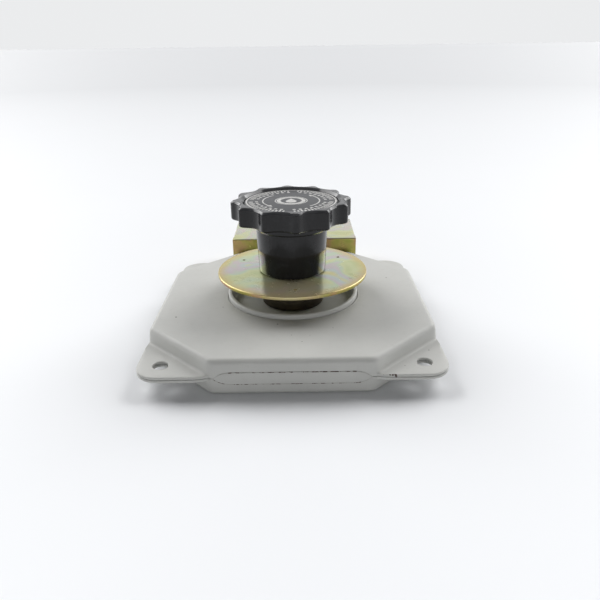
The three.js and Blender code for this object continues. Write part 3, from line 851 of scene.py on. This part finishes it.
plug = place("drain_plug")
plug_profile = fillet([
    (0, plug.bottom), (4.9, plug.bottom, 0.0), (5.4, plug.bottom + 0.5, 0.1), (5.4, plug.top - 0.8, 0.1),
    (4.6, plug.top, 0.0), (0, plug.top),
])
plug_rings = [circle(radius, z, 64, plug.x, plug.y) for radius, z in plug_profile]
countersink = [(0, -1), (3.9, -1), (3.9, 0.3), (3.0, 1.2), (0, 1.2)]
add("drain_plug_body", skin(plug_rings), steel, "tank", "drain_plug", sharp=30,
    cuts=[rod(3.4, -1, 5.5, plug.x, plug.y, 6), turned(countersink, 48, plug.x, plug.y)])


FOLDED_ALONG = {
    "X": Matrix(((0, 0, 1, 0), (1, 0, 0, 0), (0, 1, 0, 0), (0, 0, 0, 1))),
    "Y": Matrix(((1, 0, 0, 0), (0, 0, 1, 0), (0, 1, 0, 0), (0, 0, 0, 1))),
}


def folded(outline, start, end, axis, edge=0.2):
    """A sheet's cross-section, drawn in (across, up), run along X or Y between start and end."""
    return moved(plate(outline, start, end, edge), FOLDED_ALONG[axis])


baffle = place("baffle_plate")
baffle_face, baffle_foot = baffle.x0 + 1.5, baffle.bottom + 1.5
baffle_section = fillet([
    (baffle.x0, baffle.bottom, 2.0), (baffle.x1, baffle.bottom, 0.1), (baffle.x1, baffle_foot, 0.1),
    (baffle_face, baffle_foot, 0.6), (baffle_face, baffle.top, 0.1), (baffle.x0, baffle.top, 0.1),
])
flow_hole = moved(rod(2.2, -4, 6, 0, 0, 32), Matrix.Rotation(math.pi / 2, 4, "Y"))
add("baffle_plate_folded", folded(baffle_section, baffle.y0, baffle.y1, "Y"),
    steel, "tank", "baffle_plate",
    cuts=[moved(flow_hole, Matrix.Translation((0, y, 12))) for y in (baffle.y0 + 6, baffle.y1 - 6)])


# ---- spill dish and the parts clamped on the neck ----

dish_floor = dish.bottom + 2.0
dish_wall = 3.0
hem_top = TANK_TOP - SHEET - 0.3
add_turned("spill_dish_pressing", [
    (NECK_BORE, dish.bottom, 0.4), (COLLAR - 3, dish.bottom, 0.3), (COLLAR, dish.bottom, 1.5),
    (COLLAR, hem_top - 2, 0.4), (dish.radius, hem_top - 2, 0.4), (dish.radius, hem_top, 0.4),
    (COLLAR, hem_top, 0.2), (COLLAR, dish.top, 1.25), (COLLAR - dish_wall, dish.top, 1.25),
    (COLLAR - dish_wall, dish_floor, 3.4), (NECK_BORE, dish_floor, 0.4),
], paint, "tank", "spill_dish", segments=160, steps=6)
add_ring("neck_gasket_ring", "neck_gasket", 24, NECK_BORE, 0.4, rubber, "tank")

hub_groove = (hub.bottom + hub.top) / 2
groove = hub.radius - 0.7
add_turned("neck_hub_turned", [
    (NECK_BORE, hub.bottom), (hub.radius, hub.bottom, 0.8), (hub.radius, hub_groove - 1, 0.2),
    (groove, hub_groove - 0.4, 0.2), (groove, hub_groove + 0.4, 0.2), (hub.radius, hub_groove + 1, 0.2),
    (hub.radius, hub.top, 0.8), (NECK_BORE, hub.top),
], grimy_shaded_zinc, "tank", "neck_hub")
add_ring("neck_spacer_turned", "neck_spacer", spacer.radius, NECK_BORE, 0.5, grimy_shaded_zinc, "tank")

neck_profile = fillet([
    (17.5, neck.bottom + 2), (neck.radius, neck.bottom + 2), (neck.radius, neck.bottom),
    (15.5, neck.bottom), (15.5, neck.top), (16.9, neck.top),
])
neck_rings = [circle(radius, z) for radius, z in reversed(neck_profile)]
neck_rings += reversed(cap_thread(17.5, 16.7, nut.top + 0.8, neck.top - 0.8))
add("filler_neck_threaded", skin(neck_rings, loop=True), zinc, "tank", "filler_neck")

disc_rings = [22, 30, 36.6, 41.4, 47]  # keep the faces round the holes small
add_turned("drip_disc_stamping", [
    (NECK_BORE, disc.bottom), *[(radius, disc.bottom, 0) for radius in disc_rings],
    (disc.radius, disc.bottom, 0.4), (disc.radius, disc.top, 0.6),
    *[(radius, disc.top, 0) for radius in reversed(disc_rings)], (NECK_BORE, disc.top),
], zinc, "tank", "drip_disc", segments=192, steps=6,
    cuts=drills_round(3, 33, 39, 1.1, disc.bottom - 3, disc.top + 3, 32))

nut_slot = box(nut.radius - 1.2, nut.radius + 2, -1.8, 1.8, nut.bottom + 1.5, nut.top + 2, 0.01)
add("ring_nut_slotted", ring(nut.radius, NECK_BORE, nut.bottom, nut.top, 0.6), steel, "tank", "ring_nut",
    cuts=[about_neck(nut_slot, (slot + 0.5) * math.pi / 2) for slot in range(4)])


def strainer_shape():
    """Rim, bottom cup, two hoops and eight ribs of the strainer."""
    rim = place("strainer_basket")
    outer, wall = 14.9, 0.8
    inner, floor, lip = outer - wall, rim.bottom + wall, rim.top - wall
    cup_top, collar_bottom = rim.bottom + 4, rim.top - 9
    shapes = [
        turned(fillet([
            (outer, collar_bottom, 0.2), (outer, lip, 0.1), (rim.radius, lip), (rim.radius, rim.top),
            (inner, rim.top, 0.5), (inner, collar_bottom, 0.2)]), 64),
        turned(fillet([
            (0, rim.bottom), (outer, rim.bottom, 1.2), (outer, cup_top, 0.2), (inner, cup_top, 0.2),
            (inner, floor, 0.8), (0, floor)]), 64),
    ]
    for z in (21, 38.5):
        shapes.append(ring(outer, inner, z - 1.5, z + 1.5, 0.2, 64))
    for rib in range(8):
        bar = box(inner, outer, -1.2, 1.2, cup_top - 0.2, collar_bottom + 0.2, 0.15)
        shapes.append(about_neck(bar, (rib + 0.5) * math.pi / 4))
    return joined(*shapes)


add("strainer_frame", strainer_shape(), steel, "tank", "strainer_basket")
gauze = mesh_object("strainer_gauze", skin([circle(14.35, 6.5 + 1.5 * level, 48) for level in range(38)]))
weave = gauze.modifiers.new("wires", "WIREFRAME")
weave.thickness = 0.35 * MM
weave.use_replace = True
bake_modifiers(gauze)
finish(gauze, steel, "tank", sharp=60)


# ---- rear bracket ----

def arc(radius, start, end, steps=24, x=0.0, y=0.0):
    turns = [start + (end - start) * step / steps for step in range(steps + 1)]
    return [(x + radius * math.cos(turn), y + radius * math.sin(turn)) for turn in turns]


def rear_bracket():
    """A plate with its front and sides folded down and a tongue that reaches to the neck."""
    sheet = 2.0
    top, under = bracket.top, bracket.top - sheet
    front = 93.6
    apron_low, cheek_low = bracket.bottom, bracket.bottom + 6
    tongue, tongue_end = 21.0, 23.0
    inner, outer = 0.2, 1.3
    left, right = bracket.x0, bracket.x1
    saddle = fillet([
        (left, cheek_low), (left + sheet, cheek_low), (left + sheet, under, inner),
        (right - sheet, under, inner), (right - sheet, cheek_low), (right, cheek_low),
        (right, top, outer), (left, top, outer),
    ], steps=6)
    piece = mesh_object("rear_bracket_folded", folded(saddle, front + sheet + 2, bracket.y1, "Y"))
    apron = fillet([
        (front, apron_low), (front + sheet, apron_low), (front + sheet, under, inner),
        (front + 6, under, 0), (front + 6, top, 0), (front, top, outer),
    ], steps=6)
    for start, end in ((left, -tongue - 2), (tongue + 2, right)):
        combine(piece, folded(apron, start, end, "X"), "UNION")
    lean = math.acos(tongue / tongue_end)
    tongue_outline = [(tongue, front + 6), (-tongue, front + 6)]
    tongue_outline += arc(tongue_end, math.pi - lean, 2 * math.pi + lean, 48, 0, NECK_Y)
    combine(piece, plate(tongue_outline, under, top, 0.15), "UNION")
    combine(piece, rod(NECK_BORE, 0, 60, 0, NECK_Y, 96))
    for x in (-14, 14):
        combine(piece, rod(4.5, 0, 60, x, bracket.y1 - 16, 64))
    return piece


finish(rear_bracket(), zinc, "tank", "rear_bracket")


# ---- breather cap ----

LOBES = 12
LOBE_OFFSET = math.radians(5)
SCALLOP = 4.2
GRIP = 39.8
GRIP_STEPS = 24  # points from one lobe to the next
GRIP_SMOOTHING = (1, 2, 3, 2, 1)
SKIRT_BORE = 20.6
PIVOT_HOLE = 5.3
LOBED_FROM, LOBED_FULLY = 33.6, 37.2  # radii between which the lobes take shape
HEAD = 12.8  # height of the grip
POCKET_FLOOR = foam_box.bottom - 0.3


def grip_reach():
    """How far in the grip's edge lies at each of its angles: shallow hollows between narrow lobes."""
    tip = 2.2 / 30
    depths = []
    for step in range(GRIP_STEPS):
        along = (step / GRIP_STEPS - tip) / (1 - 2 * tip)
        inside = max(0.0, 1 - (2 * along - 1) ** 2)
        depths.append(SCALLOP * inside ** 0.75)
    total = sum(GRIP_SMOOTHING)
    return [
        sum(weight * depths[(i + k - 2) % GRIP_STEPS] for k, weight in enumerate(GRIP_SMOOTHING)) / total
        for i in range(GRIP_STEPS)
    ]


def knob_ring(radius, z, lobed):
    """A ring of the knob. lobed is how much of the hollows it has, from 0 to 1."""
    depths = grip_reach()
    points = []
    for i in range(LOBES * GRIP_STEPS):
        angle = LOBE_OFFSET + 2 * math.pi * i / (LOBES * GRIP_STEPS)
        reach = radius - lobed * depths[i % GRIP_STEPS]
        points.append((reach * math.cos(angle), NECK_Y + reach * math.sin(angle), z))
    return points


def cap_knob():
    """The whole moulding: skirt, lobed grip, rim round the label, foam pocket and rivet hole."""
    head_bottom = knob.top - HEAD
    label_seat = label.bottom - 0.3
    pocket = foam_box.radius + 0.3
    seal_top = seal.top + 0.4
    profile = fillet([
        (SKIRT_BORE, knob.bottom, 0.4), (22.6, knob.bottom, 0.8), (23.9, head_bottom - 6.5, 0.4),
        (24.4, head_bottom - 5.6, 0.4), (24.4, head_bottom, 0.8), (36.5, head_bottom, 1.0),
        (GRIP, head_bottom, 1.5), (GRIP, knob.top - 1.5, 1.2), (GRIP - 1.5, knob.top, 1.2),
        (33.1, knob.top, 0.5), (31.2, label.top - 0.1), (31.0, label_seat), (pocket, label_seat),
        (pocket, POCKET_FLOOR, 0.5), (PIVOT_HOLE, POCKET_FLOOR, 0.2), (PIVOT_HOLE, seal_top, 0.2),
        (SKIRT_BORE, seal_top, 0.8),
    ], steps=5)
    rings = []
    for radius, z in profile:
        lobed = min(1.0, max(0.0, (radius - LOBED_FROM) / (LOBED_FULLY - LOBED_FROM)))
        rings.append(knob_ring(radius, z, lobed if z > head_bottom - 1 else 0.0))
    return skin(rings, loop=True)


add("cap_knob_moulding", cap_knob(), black, "cap", "cap_knob", sharp=50,
    cuts=drills_round(6, 30, 25.8, 1.3, knob.top - HEAD - 3, POCKET_FLOOR + 1, 24))

add_turned("cap_label_disc", [
    (0, label.bottom), (label.radius, label.bottom, 0.2), (label.radius, label.top, 0.4), (0, label.top),
], label_dark, "cap", "cap_label")


def flat_ring(outer, inner, start, end, steps=48):
    """A flat stretch of a ring, from one angle to another in degrees."""
    a, b = math.radians(start), math.radians(end)
    return arc(outer, a, b, steps) + arc(inner, b, a, steps)


def label_marks():
    """Generic marks: a rim line, two rows of ticks, two turning arrows and an oil drop in two circles."""
    outlines = []
    for outer, inner in ((29.9, 28.9), (10.8, 10.2), (9.5, 7.0)):
        outlines += [flat_ring(outer, inner, 0, 180), flat_ring(outer, inner, 180, 360)]
    for start in (-50, 130):
        outlines.append(flat_ring(19.1, 18.3, start, start + 90))
        head = math.radians(start + 90)
        out = Vector((math.cos(head), math.sin(head)))
        ahead = Vector((-out.y, out.x))
        outlines.append([tuple(out * 16.9), tuple(out * 20.5), tuple(out * 18.7 + ahead * 4.0)])
    for tick in range(72):
        if tick % 18 in (0, 17):
            continue
        length = 2.8 if tick % 3 else 3.6
        outlines.append(flat_ring(28.0, 28.0 - length, tick * 5 - 1.2, tick * 5 + 1.2, 2))
        if tick % 2:
            outlines.append(flat_ring(23.6, 21.8, tick * 5 - 2.4, tick * 5 + 2.4, 3))
    outlines.append(arc(3.6, math.radians(150), math.radians(390), 24, 0, -1.6) + [(0, 5.4)])
    shapes = [plate(outline, label.top - 0.05, label.top + 0.09, 0.02, 1) for outline in outlines]
    return about_neck(joined(*shapes))


add("cap_label_marks", label_marks(), silver, "cap")

foam_profile = fillet([
    (9, foam_box.bottom), (foam_box.radius, foam_box.bottom, 1.0), (foam_box.radius, foam_box.top, 1.4),
    (9, foam_box.top, 1.0),
], steps=5)
foam_middle = Vector((0, NECK_Y, (foam_box.bottom + foam_box.top) / 2))


def lumpy(point):
    """A point of the foam's surface, drawn in by up to half a millimetre."""
    point = Vector(point)
    return point + (point - foam_middle).normalized() * (0.22 * noise.noise(point * 0.9) - 0.25)


foam_rings = [[lumpy(point) for point in circle(radius, z, 120)] for radius, z in foam_profile]
foam_ring = add("breather_foam_ring", skin(foam_rings, loop=True), foam, "cap", "breather_foam")

insert_profile = fillet([
    (18.8, insert.top, 0.2), (20.3, insert.top),
    *[(20.3 - depth, insert.bottom + up, 0.1) for up, depth in (
        (14.8, 0), (14.4, 0.5), (13.4, 0.5), (13.0, 0), (5.8, 0), (5.4, 0.5), (4.4, 0.5), (4.0, 0))],
    (20.3, insert.bottom), (18.8, insert.bottom, 0.2),
])
insert_rings = [circle(radius, z) for radius, z in insert_profile]
insert_rings += cap_thread(17.9, 18.7, insert.bottom + 0.6, insert.top - 0.6)
add("thread_insert_turned", skin(insert_rings, loop=True), brass, "cap", "thread_insert")

add_ring("seal_plate_disc", "seal_plate", seal.radius, PIVOT_HOLE, 0.4, steel, "seal_plate")
add_ring("cap_gasket_ring", "cap_gasket", place("cap_gasket").radius, 14.6, 0.5, rubber, "seal_plate")

rivet = place("swivel_rivet")
shoulder = seal.bottom - 0.3
add_turned("swivel_rivet_turned", [
    (3.3, rivet.bottom), (7, rivet.bottom, 0.4), (7, shoulder, 0.1), (5, shoulder, 0.1),
    (5, foam_box.bottom, 0.1), (8, foam_box.bottom, 0.1), (8, rivet.top, 0.5), (3.3, rivet.top, 0.4),
], steel, "cap", "swivel_rivet", segments=64)


# ---- valves and dipstick under the seal plate ----

cage = place("valve_cage")
cage_floor = cage.bottom + 1.5
add_turned("valve_cage_turned", [
    (4.2, cage.bottom), (cage.radius, cage.bottom, 0.8), (cage.radius, cage.top, 0.2),
    (8.6, cage.top, 0.2), (8.6, cage_floor, 0.4), (4.2, cage_floor),
], brass, "seal_plate", "valve_cage", segments=80)

poppet = place("relief_poppet")
flange = poppet.bottom + 1.4
add_turned("relief_poppet_turned", [
    (1.6, poppet.bottom, 0.1), (6.4, poppet.bottom, 0.5), (6.4, flange), (3.2, flange),
    (3.2, poppet.top), (1.6, poppet.top, 0.2),
], brass, "relief_valve", "relief_poppet", segments=64)

stem = place("vacuum_poppet")
stem_profile = fillet([
    (0, stem.bottom), (3.6, stem.bottom, 0.4), (3.6, stem.bottom + 1.5, 0.3), (1.2, stem.bottom + 1.5, 0.3),
    (1.2, stem.top - 1.6, 0.1), (1.2, stem.top, 0.4), (0, stem.top),
])
add("vacuum_poppet_turned", skin([circle(r, z, 48) for r, z in stem_profile]),
    brass, "vacuum_valve", "vacuum_poppet")
add_ring("vacuum_clip_washer", "vacuum_clip", 2.8, 1.5, 0.15, steel, "vacuum_valve", 48)


def coil(radius, wire, turns, bottom, top):
    """A compression spring with its end turns lying close."""
    path = []
    steps = round(turns * 32)
    for step in range(steps + 1):
        t = step / steps
        ease = t * t * (3 - 2 * t)
        z = bottom + wire + (top - bottom - 2 * wire) * (0.45 * t + 0.55 * ease)
        angle = 2 * math.pi * turns * t
        path.append((radius * math.cos(angle), NECK_Y + radius * math.sin(angle), z))
    return sweep(path, wire, 10)


spring = place("relief_spring")
relief_spring = add("relief_spring_coil", coil(4.9, 0.45, 5, spring.bottom, spring.top),
                    steel, "seal_plate", "relief_spring")
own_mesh(relief_spring)
small = place("vacuum_spring")
vacuum_spring = add("vacuum_spring_coil", coil(2.1, 0.28, 3.5, small.bottom, small.top),
                    steel, "relief_valve", "vacuum_spring")
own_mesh(vacuum_spring)

stick = place("dipstick")
stick_left, stick_right = NECK_Y - 2.4, NECK_Y + 2.4
stick_outline = fillet([
    (stick_left, stick.bottom, 2.3), (stick_right, stick.bottom, 2.3), (stick_right, stick.top, 0.4),
    (stick_left, stick.top, 0.4),
], steps=6)
level_marks = [
    box(stick.x1 - 0.2, stick.x1 + 1, NECK_Y - 3, NECK_Y + 3, z - 0.2, z + 0.2, 0.01) for z in (9, 12, 15)
]
add("dipstick_strip", folded(stick_outline, stick.x0, stick.x1, "X", 0.15),
    steel, "seal_plate", "dipstick", cuts=level_marks)


# ---- stage, light and camera ----

FLOOR_COLOUR = (0.855, 0.865, 0.885)
FLOOR_HALF = 30000
FLOOR_NEAR = 400  # a smaller square under the object
AIR_BACK = 0.85
AIR_ABOVE = 0.15
AIR_FRONT = 0.05
AIR_BAND = 1.5


def pale_floor():
    """A wide level floor, with painted shade that makes it a little darker far away."""
    cuts = [-FLOOR_HALF, -FLOOR_NEAR, FLOOR_NEAR, FLOOR_HALF]
    points = [(x, y, 0) for y in cuts for x in cuts]
    faces = [(i, i + 1, i + 5, i + 4) for i in (0, 1, 2, 4, 5, 6, 8, 9, 10)]
    floor = mesh_object("studio_floor", (points, faces))
    floor.data.shade_smooth()
    look = Look("studio_white", "", Roughness=0.6)
    mottle = look.noise(300, detail=2)
    colour = look.mix(mottle, FLOOR_COLOUR, tuple(c * 0.985 for c in FLOOR_COLOUR))
    distance = look.node("VectorMath", {0: look.place}, operation="LENGTH").outputs["Value"]
    # Darker with distance from the middle: painted fall-off of the light.
    far_painted_shade = look.level(distance, 0.4, 2.6, 0.0, 0.24)
    look.wire(Base_Color=look.mix(far_painted_shade, colour, (0.05, 0.05, 0.05)))
    floor.data.materials.append(look.material)


def studio_air():
    """Light all round: bright behind, dim overhead and in front, with a bright band low in front."""
    world = bpy.data.worlds.new("studio_air")
    world.use_nodes = True
    air = Graph(world.node_tree)
    direction = air.node("SeparateXYZ", {0: air.node("TexCoord").outputs["Generated"]}).outputs

    def spread(axis, low, high, at_low, at_high):
        return air.level(direction[axis], low, high, at_low, at_high, interpolation_type="SMOOTHSTEP")

    behind = spread("Y", 0.0, 0.5, 0.0, 1.0)
    back_glow = spread("Z", 0.45, 1.0, AIR_BACK, AIR_ABOVE)
    front_low = spread("Z", 0.1, 0.4, AIR_BAND, AIR_FRONT)
    front_high = spread("Z", 0.6, 1.0, 0.0, AIR_ABOVE - AIR_FRONT)
    front_glow = air.calc("ADD", front_low, front_high)
    glow = air.calc("MULTIPLY_ADD", behind, air.calc("SUBTRACT", back_glow, front_glow), front_glow)
    shader = air.tree.nodes["Background"]
    shader.inputs["Color"].default_value = (0.98, 0.99, 1.0, 1)
    air.feed(shader.inputs["Strength"], glow)
    bpy.context.scene.world = world


def far_light(name, azimuth, elevation, spread, strength):
    """A broad distant light. The azimuth is measured from the back towards the right, in degrees."""
    data = bpy.data.lights.new(name, "SUN")
    data.angle = math.radians(spread)
    data.energy = strength
    lamp = bpy.data.objects.new(name, data)
    turn, rise = math.radians(azimuth), math.radians(elevation)
    source = Vector((math.sin(turn) * math.cos(rise), math.cos(turn) * math.cos(rise), math.sin(rise)))
    lamp.rotation_euler = source.to_track_quat("Z", "Y").to_euler()
    bpy.context.scene.collection.objects.link(lamp)


def studio():
    pale_floor()
    studio_air()
    far_light("soft_left", -48, 35, 44, 2.1)
    far_light("soft_right", 48, 35, 44, 2.1)
    bpy.context.scene.view_settings.view_transform = "Standard"


CAMERA_PLACE = (0.004446, -0.376353, 0.183061)  # in metres
CAMERA_PITCH = 0.4128
CAMERA_YAW = 0.0012
CAMERA_ROLL = -0.0138


def camera():
    """Looks down at the tank's front from close by."""
    data = bpy.data.cameras.new("photo_camera")
    data.sensor_width = 36
    data.lens = 35.387
    data.clip_start = 0.01
    view = bpy.data.objects.new("photo_camera", data)
    heading = Matrix.Rotation(-CAMERA_YAW, 4, "Z")
    tilt = Matrix.Rotation(math.pi / 2 - CAMERA_PITCH, 4, "X")
    roll = Matrix.Rotation(CAMERA_ROLL, 4, "Z")
    view.matrix_world = Matrix.Translation(CAMERA_PLACE) @ heading @ tilt @ roll
    bpy.context.scene.collection.objects.link(view)
    bpy.context.scene.camera = view


studio()
camera()
